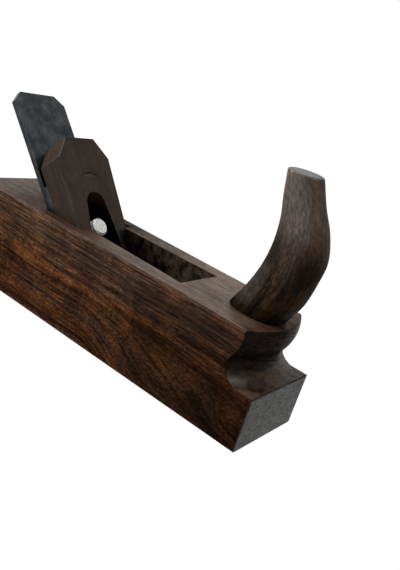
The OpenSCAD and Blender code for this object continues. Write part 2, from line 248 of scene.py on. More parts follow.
def rosewood_figure():
    """Growth layers, swirl, fibres and pores of rosewood, with the grain along x, in millimetres."""
    tree, given, ends = new_group(
        "Rosewood figure",
        {"Place": ("Vector", None), "Swirl": ("Float", 1.0), "Layer Width": ("Float", 8.0),
         "Rustiness": ("Float", 0.5), "Contrast": ("Float", 1.0), "Dark": ("Color", STOCK_DARK),
         "Brown": ("Color", STOCK_BROWN), "Rust": ("Color", STOCK_RUST)},
        {"Colour": "Color", "Lines": "Float", "Pores": "Float", "Relief": "Float"})
    contrast = given["Contrast"]

    # A slow drift keeps the layers from lying dead straight
    in_mm = stretched(tree, given["Place"], 1000, 1000, 1000)
    drift = marks(tree, in_mm, *GRAIN_MARKS["drift"], out="Color")
    drift = vector_maths(tree, "SUBTRACT", drift, (0.5, 0.5, 0.5))
    drift = stretched(tree, drift, 0, DRIFT_REACH, DRIFT_REACH)
    place = vector_maths(tree, "ADD", in_mm, drift)
    along, aside, height = parts(tree, place)

    # Near the sole the layers rise towards the toe, round an old branch
    low = maths(tree, "DIVIDE", height, SWIRL_HEIGHT)
    low = maths(tree, "POWER", math.e, times(tree, low, low, -1.0))
    rise = between(tree, along, *SWIRL_ALONG, 0.0, SWIRL_LIFT)
    rise = plus(tree, rise, times(tree, larger(tree, minus(tree, along, PAST_SWIRL), 0.0), PAST_RISE))
    rise = times(tree, rise, low, given["Swirl"])
    layer = plus(tree, height, rise, times(tree, aside, LAYER_LEAN))
    flow = joined(tree, along, layer, aside)

    # Wide layers and patches set the colour
    layer_scale = joined(tree, BAND_ALONG, maths(tree, "DIVIDE", 1.0, given["Layer Width"]), BAND_ASIDE)
    bands = noise(tree, vector_maths(tree, "MULTIPLY", flow, layer_scale), detail=3, roughness=0.6)
    patches = marks(tree, flow, *GRAIN_MARKS["patches"], out="Color")
    patches, yellow_patches, violet_patches = parts(tree, patches)
    warmth = plus(tree, times(tree, bands, 0.5), times(tree, patches, 0.5))
    warmth = plus(tree, warmth, minus(tree, given["Rustiness"], 0.5))
    colour = blend_colour(tree, between(tree, warmth, 0.44, 0.57), given["Brown"], given["Rust"])
    yellowed = times(tree, between(tree, yellow_patches, 0.50, 0.64), contrast)
    colour = tinted(tree, yellowed, colour, YELLOW_TINT)
    violet = times(tree, between(tree, violet_patches, 0.50, 0.62), contrast)
    colour = tinted(tree, violet, colour, VIOLET_TINT)

    # Stripes, lines and fibres run along the layers, and grit breaks them up
    stripes = marks(tree, flow, *GRAIN_MARKS["stripes"])
    lines = marks(tree, flow, *GRAIN_MARKS["lines"])
    strands = marks(tree, place, *GRAIN_MARKS["strands"])
    grit = marks(tree, in_mm, *GRAIN_MARKS["grit"])
    shade = plus(tree, times(tree, lines, 0.25), times(tree, strands, 0.23), times(tree, stripes, 0.33),
                 times(tree, patches, 0.19))
    shade = minus(tree, between(tree, shade, 0.41, 0.60, 0.28, 1.88), 1.0)
    grit = minus(tree, between(tree, grit, 0.34, 0.66, 0.52, 1.52), 1.0)
    for strength in (shade, grit):
        colour = lit(tree, colour, plus(tree, times(tree, strength, contrast), 1.0))

    # Dark veins, hairlines and open pores lie over all of it
    veins = times(tree, between(tree, lines, 0.45, 0.35, 0.0, 0.55), contrast)
    hairlines = maths(tree, "ABSOLUTE", minus(tree, marks(tree, flow, *GRAIN_MARKS["hairlines"]), 0.5))
    hairlines = times(tree, between(tree, hairlines, 0.018, 0.004),
                      between(tree, strands, 0.40, 0.55, 0.30, 0.85))
    pores = between(tree, marks(tree, place, *GRAIN_MARKS["pores"]), 0.56, 0.66)
    for mark in (veins, times(tree, hairlines, contrast), times(tree, pores, times(tree, contrast, 0.6))):
        colour = blend_colour(tree, mark, colour, given["Dark"])
    relief = minus(tree, times(tree, strands, 0.35), times(tree, pores, 0.65))
    for title, value in (("Colour", colour), ("Lines", lines), ("Pores", pores), ("Relief", relief)):
        tree.links.new(value, ends[title])
    return tree


def handled_edges():
    """How much an edge has been rubbed by hands and the bench, from 0 to 1."""
    tree, given, ends = new_group("Handled edges", {"Place": ("Vector", None), "Width": ("Float", 0.0008)},
                                  {"Worn": "Float"})
    rounded = put(tree, "Bevel", {"Radius": given["Width"]}, samples=6).outputs[0]
    true = put(tree, "NewGeometry").outputs["Normal"]
    worn = between(tree, vector_maths(tree, "DOT_PRODUCT", rounded, true), 0.975, 0.84)
    uneven = between(tree, noise(tree, given["Place"], scale=140, detail=3), 0.35, 0.6, 0.35, 1.0)
    tree.links.new(times(tree, worn, uneven), ends["Worn"])
    return tree


FIGURE = rosewood_figure()
EDGES = handled_edges()


def new_material(name):
    made = bpy.data.materials.new(name)
    made.use_nodes = True
    tree = made.node_tree
    tree.nodes.clear()
    end = tree.nodes.new("ShaderNodeOutputMaterial")
    shader = tree.nodes.new("ShaderNodeBsdfPrincipled")
    tree.links.new(shader.outputs[0], end.inputs["Surface"])
    return made, tree, shader


def oiled_wood(name, colours, roughness, turn=0.0, shift=(0, 0, 0), swirl=1.0, layer_width=8.0,
               rustiness=0.5, contrast=1.0, calm_above=None, crook=None):
    """Oiled wood with the grain turned, in degrees, to run along the piece.

    calm_above is from where to where up the piece its contrast falls, and to what;
    crook is how much the grain bends, and at what height it stands furthest back.
    """
    made, tree, shader = new_material(name)
    coordinates = put(tree, "TexCoord").outputs
    place = along_grain = coordinates["Object"]
    ahead, aside, height = parts(tree, place)
    if crook:
        bend, furthest = crook
        over = minus(tree, height, furthest)
        along_grain = joined(tree, plus(tree, ahead, times(tree, over, over, bend)), aside, height)
    if calm_above:
        low, high, calm = calm_above
        contrast = between(tree, height, low, high, contrast, calm)
    turned = put(tree, "Mapping", {"Vector": along_grain, "Rotation": (0, math.radians(turn), 0),
                                   "Location": shift}).outputs[0]
    dark, brown, rust = colours
    figure = place_group(tree, FIGURE, Place=turned, Swirl=swirl, Layer_Width=layer_width,
                         Rustiness=rustiness, Contrast=contrast, Dark=dark, Brown=brown, Rust=rust)
    handling = noise(tree, place, scale=55, detail=3, roughness=0.6)
    rough = plus(tree, between(tree, handling, 0.3, 0.7, roughness - 0.05, roughness + 0.07),
                 times(tree, figure["Pores"], 0.18))
    tree.links.new(rough, shader.inputs["Roughness"])
    shader.inputs["Specular IOR Level"].default_value = 0.0
    shader.inputs["Coat Roughness"].default_value = 0.33
    bump = put(tree, "Bump", {"Strength": 0.5, "Distance": 0.00012, "Height": figure["Relief"]})
    tree.links.new(bump.outputs[0], shader.inputs["Normal"])
    facing = put(tree, "SeparateXYZ", {0: coordinates["Normal"]}).outputs
    return SimpleNamespace(
        material=made, tree=tree, shader=shader, place=place, along_grain=along_grain, figure=figure,
        handling=handling, ahead=ahead, aside=aside, height=height,
        facing_ahead=facing["X"], facing_up=facing["Z"])


def rub(wood, colour, coat, wear_colour, wear=0.35):
    """Wears the edges paler, and links the colour and the polish."""
    worn = place_group(wood.tree, EDGES, Place=wood.place)["Worn"]
    colour = blend_colour(wood.tree, times(wood.tree, worn, wear), colour, wear_colour)
    wood.tree.links.new(colour, wood.shader.inputs["Base Color"])
    wood.tree.links.new(coat, wood.shader.inputs["Coat Weight"])


def dress(node, material):
    """Puts the material on a CAD node."""
    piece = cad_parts[node]
    piece.data.materials.clear()
    piece.data.materials.append(material)
    return piece


def ease_edges(piece, width, sharper_than=28.0, segments=2):
    weld = piece.modifiers.new("weld", "WELD")
    weld.merge_threshold = 0.000004
    bevel = piece.modifiers.new("eased edges", "BEVEL")
    bevel.width = width
    bevel.segments = segments
    bevel.limit_method = "ANGLE"
    bevel.angle_limit = math.radians(sharper_than)
    bevel.use_clamp_overlap = False
    even = piece.modifiers.new("even shading", "WEIGHTED_NORMAL")
    even.weight, even.keep_sharp = 100, True
    return piece


stock_wood = oiled_wood("stock rosewood", (STOCK_DARK, STOCK_BROWN, STOCK_RUST), roughness=0.38,
                        rustiness=0.52)
tree, place, figure, handling = stock_wood.tree, stock_wood.place, stock_wood.figure, stock_wood.handling
ahead, aside, height = stock_wood.ahead, stock_wood.aside, stock_wood.height
facing_ahead, facing_up = stock_wood.facing_ahead, stock_wood.facing_up

# The faces of the block, each as a mask
chopped = times(tree, within(tree, ahead, *THROAT_ALONG), within(tree, aside, *THROAT_ACROSS),
                within(tree, height, *THROAT_UP))
top_face = times(tree, between(tree, facing_up, 0.6, 0.97), between(tree, height, *TOP_FACE_UP))
toe_face = between(tree, ahead, *TOE_FACE_ALONG)
end_faces = between(tree, maths(tree, "ABSOLUTE", facing_ahead), 0.25, 0.85)
moulded = times(tree, between(tree, ahead, *MOULDING_ALONG), within(tree, height, *MOULDING_UP),
                within(tree, aside, *MOULDING_ACROSS), minus(tree, 1.0, top_face),
                minus(tree, 1.0, toe_face))
upward = times(tree, moulded, between(tree, facing_up, 0.15, 0.75))
toe_rim = times(tree, toe_face, between(tree, height, *TOE_RIM_UP))

# The lines that the turning tool left: the crease under the bead, and one along the bead
shaded_crease = larger(tree, minus(tree, CREASE_UP, times(tree, aside, CREASE_FALL)), CREASE_LOWEST)
shaded_crease = times(tree, moulded, within(tree, minus(tree, height, shaded_crease), *CREASE_WIDTH))
bead_line = times(tree, moulded, within(tree, height, *BEAD_LINE_UP), between(tree, aside, *BEAD_LINE_ACROSS))

mottle, blotches, ripples, dashes, specks, scratches = (
    marks(tree, place, *STOCK_MARKS[kind])
    for kind in ("mottle", "blotches", "ripples", "dashes", "specks", "scratches"))
slanted = put(tree, "Mapping", {"Vector": place, "Rotation": TOOL_SLANT}).outputs[0]
tool_marks = marks(tree, slanted, *STOCK_MARKS["tool marks"])

# The sides are painted darker towards the toe and the sole, as painted shade, and rubbed along the sole's
# edge
toward_toe = maths(tree, "ADD", times(tree, ahead, 1 / TOE_RAMP_REACH), TOE_RAMP_START, clamp=True)
toward_sole = maths(tree, "SUBTRACT", 1.0, times(tree, height, 1 / STOCK_HEIGHT), clamp=True)
growth = maths(tree, "COSINE", times(tree, minus(tree, height, GROWTH_MIDDLE), math.tau / GROWTH_WIDTH))
sole_rub = between(tree, height, *SOLE_RUB_UP, 0.0, 0.34)
painted_shade_and_layers = times(tree, toward_sole, plus(tree, times(tree, toward_toe, SHADE_LOW_TOE), SHADE_LOW))
painted_shade_and_layers = plus(tree, painted_shade_and_layers, times(tree, toward_toe, SHADE_TOE),
             plus(tree, times(tree, growth, GROWTH_LAYER_DEPTH), sole_rub))
painted_shade_and_layers = maths(tree, "POWER", math.e, plus(tree, painted_shade_and_layers, SIDES_LEVEL))
lower_toe = times(tree, between(tree, toward_sole, 0.22, 0.66), between(tree, toward_toe, 0.15, 0.60))
painted_shade_and_layers = times(tree, painted_shade_and_layers, where(tree, lower_toe, 1.0, 1.32))
sides = lit(tree, figure["Colour"], painted_shade_and_layers)
sides = tinted(tree, times(tree, lower_toe, between(tree, ahead, *LOWER_TOE_ALONG)), sides, LOWER_TOE_TINT)

# Ripples cross the grain towards the heel, and a grey haze, partly painted sheen, and fine dashes lie near
# the top
ripples = times(tree, between(tree, ripples, 0.40, 0.60, -0.27, 0.27), between(tree, ahead, *RIPPLES_ALONG),
                between(tree, height, *RIPPLES_UP, 0.3, 1.0))
sides = lit(tree, sides, plus(tree, ripples, 1.0))
haze_and_sheen = times(tree, between(tree, toward_sole, 0.50, 0.0, 0.0, 0.60), where(tree, toward_toe, 1.0, 0.55))
haze_and_sheen_tone = times(tree, between(tree, figure["Lines"], 0.38, 0.60, 0.52, 1.48),
                  where(tree, figure["Pores"], 1.0, 0.4))
sides = blend_colour(tree, haze_and_sheen, sides, lit(tree, STOCK_HAZE_AND_SHEEN, haze_and_sheen_tone))
dashes = times(tree, between(tree, dashes, 0.38, 0.62, -0.34, 0.30), between(tree, height, *DASHES_UP))
sides = lit(tree, sides, plus(tree, dashes, 1.0))

# The top is worn pale by the hand and greyed by painted sheen, and painted darker beside the wedge and in
# front of the horn, as painted reflections of the wedge and the horn
worn_and_sheen_top = lit(tree, STOCK_WORN_AND_SHEEN, between(tree, figure["Lines"], 0.35, 0.62, 0.62, 1.22))
worn_and_sheen_top = lit(tree, worn_and_sheen_top, between(tree, ahead, *WORN_ALONG, 0.70, 1.14))
painted_reflection = times(tree, between(tree, ahead, *WEDGE_REFLECTION_START), between(tree, ahead, *WEDGE_REFLECTION_END))
painted_reflection = larger(tree, painted_reflection, between(tree, ahead, *HORN_REFLECTION_ALONG))
painted_reflection = times(tree, painted_reflection, top_face, between(tree, handling, 0.30, 0.55, 0.65, 0.95))
reflection_top = lit(tree, TOP_REFLECTION_DARK, between(tree, figure["Lines"], 0.36, 0.62, 0.7, 1.4))

# End grain drinks the oil: dark on the heel and in the moulding, grey on the toe
ends = blend_colour(tree, 0.62, figure["Colour"], END_GRAIN_RED)
ends = lit(tree, ends, between(tree, blotches, 0.34, 0.66, 0.30, 0.62))
toe_tone = lit(tree, TOE_GREY, between(tree, tool_marks, 0.34, 0.66, 0.6, 1.5))
end_grain = plus(tree, times(tree, blotches, 0.5), times(tree, tool_marks, 0.5))
end_grain = blend_colour(tree, between(tree, end_grain, 0.43, 0.60), END_GRAIN_DARK, END_GRAIN_RED)

# The top of the square foot is paler, with a small knot near its front edge
foot_top = blend_colour(tree, between(tree, aside, *FOOT_ACROSS), FOOT_WARM, FOOT_GREY)
foot_top = lit(tree, foot_top, between(tree, blotches, 0.34, 0.66, 0.74, 1.20))
foot_top = lit(tree, foot_top, between(tree, tool_marks, 0.34, 0.66, 0.80, 1.20))
from_knot = stretched(tree, vector_maths(tree, "SUBTRACT", place, KNOT), 1 / KNOT_LENGTH, 1 / KNOT_WIDTH, 0)
from_knot = plus(tree, vector_maths(tree, "LENGTH", from_knot),
                 between(tree, blotches, 0.35, 0.65, -0.28, 0.28))
foot_top = blend_colour(tree, within(tree, from_knot, *KNOT_RING), foot_top, FOOT_BROWN)

# The throat's walls are bare and mottled, and painted darker where they face up, as painted shade
walls = blend_colour(tree, between(tree, mottle, 0.36, 0.66), THROAT_DARK, THROAT_PALE)
walls = lit(tree, walls, between(tree, facing_up, 0.05, 0.30, 1.0, 0.5))

worn = times(tree, top_face, between(tree, handling, 0.2, 0.8, 0.85, 0.6))
colour = sides
for mask, tone in ((worn, worn_and_sheen_top), (painted_reflection, reflection_top), (end_faces, ends), (toe_face, toe_tone),
                   (moulded, end_grain), (upward, foot_top)):
    colour = blend_colour(tree, mask, colour, tone)
# The crease under the bead is painted darker, as painted shade
colour = lit(tree, colour, where(tree, shaded_crease, 1.0, 0.55))
colour = blend_colour(tree, chopped, colour, walls)

# Polish: most on the top and the toe, some on the turned faces, nearly none in the throat
polish = where(tree, larger(tree, top_face, toe_face), 0.03, 0.48)
polish = times(tree, polish, where(tree, painted_reflection, 1.0, 0.45), between(tree, ahead, 0.000, 0.050, 0.84, 1.0),
               where(tree, toe_rim, 1.0, 0.35))
turned = times(tree, moulded, between(tree, aside, -0.016, 0.022, 0.02, 0.32),
               between(tree, tool_marks, 0.34, 0.66, 0.55, 1.45))
turned = times(tree, plus(tree, turned, times(tree, bead_line, 0.10)), where(tree, shaded_crease, 1.0, 0.35))
foot_polish = larger(tree, between(tree, aside, -0.010, 0.018, 0.13, 0.30),
                     between(tree, aside, -0.020, -0.028, 0.13, 0.26))
foot_polish = times(tree, upward, foot_polish, between(tree, blotches, 0.34, 0.66, 0.82, 1.18))
polish = larger(tree, larger(tree, polish, turned), foot_polish)
grain_polish = between(tree, figure["Lines"], 0.35, 0.65, 0.80, 1.20)
scratches = times(tree, between(tree, scratches, 0.36, 0.64, 0.74, 1.26),
                  between(tree, tool_marks, 0.34, 0.66, 0.87, 1.13))
polish = times(tree, polish, between(tree, handling, 0.25, 0.75, 1.1, 0.9),
               where(tree, larger(tree, toe_face, moulded), grain_polish, 1.0),
               where(tree, toe_face, between(tree, specks, 0.38, 0.62, 0.66, 1.34), scratches),
               where(tree, chopped, 1.0, 0.1))
# The stock's edges are rubbed paler, and the paler edges also stand for a painted highlight along the lit
# arrises
rub(stock_wood, colour, polish, STOCK_EDGE_WEAR_AND_GLINT)
stock = ease_edges(dress("stock", stock_wood.material), EASED_EDGE)


# Horn: carved from a second piece of the same rosewood with its grain upright, so that
# a pull doesn't snap it, then smoothed with files and scrapers. It is glued to
# the stock over a dowel, and a small pin keeps it from turning.
HORN_FOOT_X, HORN_FOOT_Z = 0.0951, STOCK_HEIGHT
HORN_LENGTH, HORN_WIDTH, HORN_HEIGHT, HORN_SWEEP = 0.0338, 0.028, 0.082, 0.0122
HORN_SQUARENESS = 2.3
# From foot to top: share of the height, of the sweep, of the foot's length and of its width
HORN_ROWS = ((0.00, 0.00, 1.00, 1.00), (0.17, 0.56, 1.00, 0.99), (0.34, 0.87, 0.95, 0.97),
             (0.51, 1.00, 0.93, 0.93), (0.68, 0.78, 0.82, 0.87), (0.83, 0.36, 0.69, 0.81),
             (1.00, -0.03, 0.57, 0.74))
HORN_SIDES, RINGS_A_ROW = 72, 10
# The eased foot and top: how far along the first or last row, and how far in
FOOT_EASE = ((0.0, 0.0005), (0.008, 0.00018), (0.02, 0.0))
TOP_EASE = ((0.92, 0.0), (0.96, 0.00012), (0.985, 0.00045), (0.997, 0.0009), (1.0, 0.0013), (1.0, 0.0016))
# Bores for the dowel and the pin: distance ahead of the foot's middle, radius, depth
HORN_BORES = ((0.0, 0.00605, 0.0185), (0.0115, 0.00205, 0.0075))
BORE_SIDES = 48
HORN_DARK_AND_SHADE = (0.016, 0.0095, 0.0065, 1)
HORN_BROWN = (0.050, 0.033, 0.0225, 1)
HORN_TAN = (0.120, 0.067, 0.037, 1)
HORN_HIGHLIGHT = (0.172, 0.137, 0.120, 1)
HORN_RUST = (0.115, 0.050, 0.019, 1)
HORN_CUT_AND_SHEEN = (0.130, 0.126, 0.120, 1)
HORN_FOOT_GREY = (0.088, 0.077, 0.070, 1)
HORN_DULL = (0.066, 0.049, 0.040, 1)
HORN_EDGE_WEAR = (0.16, 0.11, 0.08, 1)
# The wood's patches are laid out round the horn from its heel side, -1, to its toe side, 1,
# and up it in metres: from and to, with a third number for how soft both ends are
ROUND_AHEAD, ROUND_ASIDE, ROUND_MIDDLE, ROUND_HALF = 0.855, 0.518, 0.0915, 0.0162
BELLY_SHADE_ROUND, BELLY_SHADE_UP = (-0.50, 0.15), (0.082, 0.102, 0.012)
FLAMES_ROUND, FLAMES_UP = (-0.95, -0.45), (0.126, 0.096)
RUSTY_ROUND, RUSTY_UP = (-0.55, -0.15), (0.102, 0.084)
SAPWOOD_ROUND, SAPWOOD_UP = (0.16, 0.38, 0.20), (0.104, 0.122)
HIGHLIGHT_ROUND, HIGHLIGHT_UP = (-0.90, 0.06, 0.28), (0.108, 0.124)
DULL_ROUND, DULL_UP = (0.20, -0.25), (0.100, 0.117, 0.008)
FOOT_GREY_ROUND, FOOT_GREY_UP = (-0.62, -0.92), (0.078, 0.092, 0.010)
SHADED_ROUND, SHADED_UP = (0.36, 0.72), (0.120, 0.132)
FOOT_SHINE_ROUND, FOOT_SHINE_UP = (0.30, 0.85), (0.072, 0.086, 0.010)
GRIP_SHINE_ROUND, GRIP_SHINE_UP = (-0.45, -0.05, 0.30), (0.124, 0.134, 0.012)
HEEL_SHADE_ROUND, FOOT_SHADE_UP, POLISH_UP = (-1.0, -0.15), (0.072, 0.106), (0.092, 0.134)
JOINT_GRIME_AND_SHADE_UP, SAWN_TOP_UP = (0.0662, 0.0670), (0.1470, 0.1478)
# Marks to a metre, as the stock's are given
HORN_MARKS = {"flames": ((112, 112, 17), 2), "rusty grain": ((170, 170, 60), 3, 0.6),
              "flecks": ((850, 850, 330), 2, 0.7)}


def horn_row(span, along):
    """One row between two of the carver's rows, on a smooth curve through them all."""
    rows, last = HORN_ROWS, len(HORN_ROWS) - 1
    before = rows[span - 1] if span > 0 else [2 * a - b for a, b in zip(rows[0], rows[1])]
    after = rows[span + 2] if span + 2 <= last else [2 * a - b for a, b in zip(rows[last], rows[last - 1])]
    return [(2 * b + (c - a) * along + (2 * a - 5 * b + 4 * c - d) * along ** 2
             + (3 * b - a - 3 * c + d) * along ** 3) / 2
            for a, b, c, d in zip(before, rows[span], rows[span + 1], after)]


def horn_ring(row, inset):
    def bend(value):
        return math.copysign(abs(value) ** (2 / HORN_SQUARENESS), value)
    turns = [math.tau * side / HORN_SIDES for side in range(HORN_SIDES)]
    return [(HORN_FOOT_X + HORN_SWEEP * row[1] + (HORN_LENGTH / 2 * row[2] - inset) * bend(math.cos(turn)),
             (HORN_WIDTH / 2 * row[3] - inset) * bend(math.sin(turn)),
             HORN_FOOT_Z + HORN_HEIGHT * row[0]) for turn in turns]


def piece_from_rings(name, rings):
    """A closed skin over rings of points, capped at both ends."""
    skin = bmesh.new()
    rows = [[skin.verts.new(point) for point in ring] for ring in rings]
    for low, high in zip(rows, rows[1:]):
        for side in range(len(low)):
            after = (side + 1) % len(low)
            skin.faces.new((low[side], low[after], high[after], high[side]))
    skin.faces.new(list(reversed(rows[0])))
    skin.faces.new(rows[-1])
    bmesh.ops.recalc_face_normals(skin, faces=skin.faces)
    data = bpy.data.meshes.new(name)
    skin.to_mesh(data)
    skin.free()
    made = bpy.data.objects.new(name, data)
    bpy.context.scene.collection.objects.link(made)
    return made


def smooth_between_edges(piece, sharper_than):
    for face in piece.data.polygons:
        face.use_smooth = True
    piece.data.set_sharp_from_angle(angle=math.radians(sharper_than))


spans = len(HORN_ROWS) - 1
horn_rings = [horn_ring(horn_row(0, along), inset) for along, inset in FOOT_EASE]
for step in range(1, spans * RINGS_A_ROW):
    horn_rings.append(horn_ring(horn_row(step // RINGS_A_ROW, step % RINGS_A_ROW / RINGS_A_ROW), 0.0))
horn_rings += [horn_ring(horn_row(spans - 1, along), inset) for along, inset in TOP_EASE]
horn = piece_from_rings("carved_horn", horn_rings)
bores = []
for forward, radius, depth in HORN_BORES:
    turns = [math.tau * side / BORE_SIDES for side in range(BORE_SIDES)]
    circle = [(HORN_FOOT_X + forward + radius * math.cos(turn), radius * math.sin(turn)) for turn in turns]
    bore_ends = [[(x, y, HORN_FOOT_Z + z) for x, y in circle] for z in (-depth, depth)]
    bores.append(piece_from_rings("bore", bore_ends))
    hollow = horn.modifiers.new("bore", "BOOLEAN")
    hollow.object, hollow.operation, hollow.solver = bores[-1], "DIFFERENCE", "EXACT"
carved = horn.evaluated_get(bpy.context.evaluated_depsgraph_get())
solid = bpy.data.meshes.new_from_object(carved)
horn.modifiers.clear()
horn.data = solid
for bore in bores:
    bpy.data.objects.remove(bore)
smooth_between_edges(horn, 40)

horn_wood = oiled_wood("horn rosewood", (HORN_DARK_AND_SHADE, HORN_BROWN, HORN_TAN), roughness=0.34, turn=90,
                       shift=(0.03, 0.013, 0.02), swirl=0.3, layer_width=7.0, rustiness=0.47, contrast=0.80,
                       calm_above=(0.106, 0.128, 0.45), crook=(7.0, 0.1006))
tree, figure, height, along_grain = horn_wood.tree, horn_wood.figure, horn_wood.height, horn_wood.along_grain
bent_ahead, bent_aside = parts(tree, along_grain)[:2]
around = plus(tree, times(tree, bent_ahead, ROUND_AHEAD), times(tree, bent_aside, ROUND_ASIDE))
around = times(tree, minus(tree, around, ROUND_MIDDLE), 1 / ROUND_HALF)

# Dark flames lick up from the belly, the toe side's lower belly is painted dark as painted shade, and rusty
# grain shows round the foot
flames = marks(tree, along_grain, *HORN_MARKS["flames"])
belly_shade = plus(tree, around, times(tree, minus(tree, flames, 0.5), 2.0))
belly_shade = times(tree, between(tree, belly_shade, *BELLY_SHADE_ROUND), within(tree, height, *BELLY_SHADE_UP))
flames = plus(tree, flames, between(tree, height, *FLAMES_UP, -0.11, 0.07))
flames = times(tree, between(tree, flames, 0.50, 0.545), between(tree, around, *FLAMES_ROUND))
rusty = marks(tree, along_grain, *HORN_MARKS["rusty grain"])
rusty = times(tree, between(tree, rusty, 0.44, 0.58), between(tree, height, *RUSTY_UP),
              between(tree, around, *RUSTY_ROUND))
flecks = marks(tree, along_grain, *HORN_MARKS["flecks"])

# Sapwood and a painted highlight on the grip lie near the top, dull wood on the heel side below them, and
# painted shade on the toe side's upper third
sapwood = times(tree, within(tree, around, *SAPWOOD_ROUND), between(tree, height, *SAPWOOD_UP))
painted_grip_highlight = times(tree, within(tree, around, *HIGHLIGHT_ROUND), between(tree, height, *HIGHLIGHT_UP),
             between(tree, figure["Lines"], 0.36, 0.62, 0.62, 0.90))
dull_side = times(tree, between(tree, around, *DULL_ROUND), within(tree, height, *DULL_UP))
foot_grey = times(tree, between(tree, around, *FOOT_GREY_ROUND), within(tree, height, *FOOT_GREY_UP))
toe_side_shade = times(tree, between(tree, around, *SHADED_ROUND), between(tree, height, *SHADED_UP))
colour = figure["Colour"]
for mask, share, tone in ((dull_side, 0.60, HORN_DULL), (flames, 0.76, HORN_DARK_AND_SHADE), (belly_shade, 0.80, HORN_DARK_AND_SHADE),
                          (sapwood, 0.75, HORN_TAN)):
    colour = blend_colour(tree, times(tree, mask, share), colour, tone)
colour = blend_colour(tree, painted_grip_highlight, colour, HORN_HIGHLIGHT)
colour = lit(tree, colour, times(tree, between(tree, around, *HEEL_SHADE_ROUND, 0.36, 1.0),
                                 between(tree, height, *FOOT_SHADE_UP, 0.46, 1.0)))
for mask, share, tone in ((toe_side_shade, 0.92, HORN_DARK_AND_SHADE), (rusty, 0.42, HORN_RUST),
                          (foot_grey, 0.45, HORN_FOOT_GREY)):
    colour = blend_colour(tree, times(tree, mask, share), colour, tone)
colour = lit(tree, colour, between(tree, flecks, 0.35, 0.65, 0.68, 1.33))

# Grime and painted shade darken the joint with the stock, and the sawn top is grey end grain with painted
# sheen
colour = lit(tree, colour, between(tree, height, *JOINT_GRIME_AND_SHADE_UP, 0.1, 1.0))
sawn_top = times(tree, between(tree, height, *SAWN_TOP_UP), between(tree, horn_wood.facing_up, 0.6, 0.9))
sawn_grain_and_sheen = lit(tree, HORN_CUT_AND_SHEEN, between(tree, figure["Lines"], 0.36, 0.62, 0.88, 1.06))
colour = blend_colour(tree, sawn_top, colour, sawn_grain_and_sheen)

# Polish: the hand has rubbed the grip, and a little the foot's toe side
foot_shine = times(tree, between(tree, around, *FOOT_SHINE_ROUND), within(tree, height, *FOOT_SHINE_UP))
grip_shine = times(tree, within(tree, around, *GRIP_SHINE_ROUND), within(tree, height, *GRIP_SHINE_UP))
polish = times(tree, between(tree, height, *POLISH_UP, 0.05, 0.36), where(tree, toe_side_shade, 1.0, 0.80))
polish = plus(tree, polish, times(tree, foot_shine, 0.10), times(tree, grip_shine, 0.10))
polish = times(tree, polish, between(tree, figure["Lines"], 0.35, 0.65, 0.88, 1.12),
               between(tree, flecks, 0.35, 0.65, 0.88, 1.12), between(tree, around, -1.05, -0.52, 0.32, 1.0),
               between(tree, around, 0.25, 0.70, 1.0, 0.85))
rub(horn_wood, colour, polish, HORN_EDGE_WEAR)
horn.data.materials.clear()
horn.data.materials.append(horn_wood.material)
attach(horn, "plane_body")
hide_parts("horn")


# Dowel and locating pin: turned from beech and left bare, they are glued into bores
# in the stock and in the horn's foot, and the joint hides them.
DOWEL_EASE = 0.0004
BEECH = ((0.30, 0.17, 0.08, 1), (0.42, 0.26, 0.13, 1), (0.50, 0.33, 0.18, 1))
bare_beech = oiled_wood("bare beech", BEECH, roughness=0.6, turn=90, swirl=0.0, layer_width=3.0, contrast=0.3)
bare_beech.tree.links.new(bare_beech.figure["Colour"], bare_beech.shader.inputs["Base Color"])
for hidden in ("horn_dowel", "horn_locating_pin"):
    ease_edges(dress(hidden, bare_beech.material), DOWEL_EASE)


# Wedge: a close-grained ebony-dark blank, tapered to press on the cap iron, with its
# legs driven down behind the stock's abutments. A wide slot clears the screw's head,
# and one gouge cut above it gives the thumbnail that marks its face.
WEDGE_EASE = 0.0004
WEDGE_DARK = (0.0235, 0.0155, 0.0115, 1)
WEDGE_BROWN = (0.042, 0.0275, 0.0195, 1)
WEDGE_TAN = (0.07, 0.046, 0.034, 1)
WEDGE_EDGE_WEAR = (0.12, 0.085, 0.06, 1)
SLOT_RED, PAINTED_SHADE_BLACK = (0.115, 0.050, 0.029, 1), (0.0075, 0.0042, 0.0034, 1)
SLOT_ACROSS, SLOT_UP = (-0.0135, 0.0135, 0.0005), (0.0925, 0.0915)
UNSHADED_ACROSS, UNSHADED_UP = (-0.003, 0.003), (0.071, 0.081)
# The thumbnail is the top of a circle on the wedge's face, from this far up from its middle
NAIL_MIDDLE, NAIL_RADIUS, NAIL_UP_FACE = (-0.0454, 0, 0.0838), 0.0130, (0.0101, 0.0108)
NAIL_HALF_LINE, NAIL_SOFT, UP_THE_FACE = 0.00015, 0.0003, (-0.633, 0, 0.774)
wedge_wood = oiled_wood("wedge ebony", (WEDGE_DARK, WEDGE_BROWN, WEDGE_TAN), roughness=0.42, turn=-45,
                        shift=(0.2, 0.05, 0.03), swirl=0.0, layer_width=5.0, rustiness=0.4, contrast=0.32)
tree, figure, handling = wedge_wood.tree, wedge_wood.figure, wedge_wood.handling
aside, height = wedge_wood.aside, wedge_wood.height
outward = plus(tree, times(tree, wedge_wood.facing_ahead, 0.77), times(tree, wedge_wood.facing_up, 0.63))
outward = maths(tree, "ABSOLUTE", outward)
# The slot's walls are painted near black as painted shade, except a patch high on the far side that keeps
# their red-brown
slot_wall = times(tree, within(tree, aside, *SLOT_ACROSS), between(tree, outward, 0.75, 0.5),
                  between(tree, height, *SLOT_UP))
slot_unshaded = times(tree, between(tree, height, *UNSHADED_UP), between(tree, aside, *UNSHADED_ACROSS),
               between(tree, handling, 0.35, 0.55, 0.35, 1.0))

